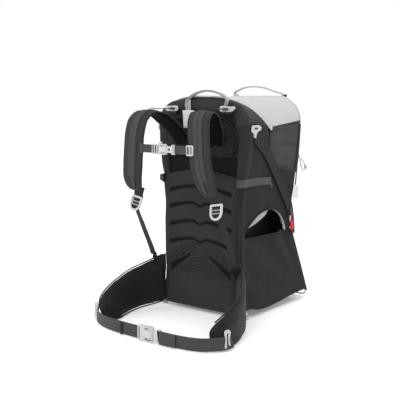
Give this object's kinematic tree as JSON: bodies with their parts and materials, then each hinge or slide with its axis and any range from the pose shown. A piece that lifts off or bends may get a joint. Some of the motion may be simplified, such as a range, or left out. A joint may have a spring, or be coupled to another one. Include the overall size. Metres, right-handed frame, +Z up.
{
  "type": "baby carrier backpack",
  "caption": "Framed child carrier backpack standing on a wire kickstand, with padded harness and hip belt, child cockpit, leg openings and a folding sunshade.",
  "frame": {"origin": "on the ground, under the middle of the whole object's box", "axes": "+Z up; -Y towards the wearer, where the harness is; +Y towards the child's back; X across the pack"},
  "size_m": [0.5483, 0.7315, 0.7308],
  "materials": {
    "tube": "satin anodised tube",
    "wire": "bright plated wire",
    "plastic": "light grey moulded nylon",
    "grey_plastic": "mid grey moulded nylon",
    "charcoal_fabric": "charcoal packcloth, fine plain weave",
    "black_fabric": "black lining fabric",
    "air_mesh": "charcoal spacer mesh over foam",
    "window_mesh": "grey open mesh",
    "webbing": "black polyester webbing",
    "canopy_fabric": "light grey ripstop, matte",
    "grey_webbing": "light grey webbing",
    "red_webbing": "red nylon pull"
  },
  "bodies": {
    "root": {"main_hoop": "tube", "lower_crossbar": "tube", "waist_crossbar": "tube", "rear_hoop": "tube", "seat_rail_right": "tube", "seat_rail_left": "tube", "front_foot_right": "plastic", "front_foot_left": "plastic", "side_buckle_right": "plastic", "side_buckle_left": "plastic", "lifter_buckle_right": "plastic", "lifter_buckle_left": "plastic", "belt_loop_right": "plastic", "belt_loop_left": "plastic", "hip_buckle_female": "plastic", "hinge_bracket_right": "grey_plastic", "hinge_bracket_left": "grey_plastic", "back_panel": "air_mesh", "upper_back_panel": "black_fabric", "side_panel_right": "charcoal_fabric", "side_panel_left": "charcoal_fabric", "gusset_right": "charcoal_fabric", "gusset_left": "charcoal_fabric", "arch_cover": "charcoal_fabric", "rear_panel": "charcoal_fabric", "rear_pocket": "charcoal_fabric", "lower_rear_panel": "charcoal_fabric", "cargo_floor": "charcoal_fabric", "hip_wing_right": "charcoal_fabric", "hip_wing_left": "charcoal_fabric", "mesh_window_right": "window_mesh", "mesh_window_left": "window_mesh", "side_strap_right": "webbing", "side_strap_left": "webbing", "strap_webbing_right": "webbing", "strap_webbing_left": "webbing", "belt_webbing_right": "webbing", "belt_webbing_left": "webbing", "canopy": "canopy_fabric", "front_handle": "grey_webbing", "rear_handle": "grey_webbing"},
    "kickstand": {"kickstand": "wire", "kickstand_foot_right": "grey_plastic", "kickstand_foot_left": "grey_plastic"},
    "sunshade": {"sunshade_hoop": "plastic"},
    "seat": {"seat_pad": "black_fabric", "child_back_pad": "black_fabric", "child_harness": "webbing"},
    "harness": {"harness_yoke": "black_fabric", "shoulder_strap_right": "charcoal_fabric", "shoulder_strap_left": "charcoal_fabric", "strap_adjuster_right": "plastic", "strap_adjuster_left": "plastic"},
    "sternum": {"sternum_webbing_left": "webbing", "sternum_buckle_female": "plastic", "sternum_webbing_right": "webbing"},
    "sternum_male": {"sternum_buckle_male": "plastic"},
    "hip_male": {"hip_buckle_male": "plastic"},
    "release_tab": {"release_tab": "red_webbing"},
    "zip_pull": {"zip_pull": "grey_webbing"}
  },
  "joints": [
    {"name": "kickstand_fold", "type": "hinge", "parent": "root", "child": "kickstand", "pos_m": [-0.034, 0.24, 0.285], "axis": [-1, 0, 0], "range_deg": [0, 60], "deforming": ["gusset_right", "gusset_left", "lower_rear_panel", "cargo_floor"]},
    {"name": "sunshade_fold", "type": "hinge", "parent": "root", "child": "sunshade", "pos_m": [-0.034, 0.102, 0.592], "axis": [-1, 0, 0], "range_deg": [0, 95], "deforming": ["canopy", "arch_cover"]},
    {"name": "seat_height", "type": "slide", "parent": "root", "child": "seat", "axis": [0, 0, 1], "range_m": [-0.03, 0.03]},
    {"name": "torso_adjust", "type": "slide", "parent": "root", "child": "harness", "axis": [0, 0, 1], "range_m": [-0.05, 0.01], "deforming": ["strap_webbing_right", "strap_webbing_left"]},
    {"name": "sternum_height", "type": "slide", "parent": "harness", "child": "sternum", "axis": [0, 0, 1], "range_m": [-0.02, 0.02]},
    {"name": "sternum_buckle_release", "type": "slide", "parent": "sternum", "child": "sternum_male", "axis": [1, 0, 0], "range_m": [0, 0.018], "deforming": ["sternum_webbing_right"]},
    {"name": "hip_buckle_release", "type": "slide", "parent": "root", "child": "hip_male", "axis": [1, 0, 0], "range_m": [0, 0.03], "deforming": ["belt_webbing_right"]},
    {"name": "release_tab_pull", "type": "slide", "parent": "root", "child": "release_tab", "axis": [0, 0, -1], "range_m": [0, 0.012], "stiffness_N_per_m": 150},
    {"name": "zip_slide", "type": "slide", "parent": "root", "child": "zip_pull", "axis": [0, -0.13, -0.9915], "range_m": [0, 0.1]}
  ]
}
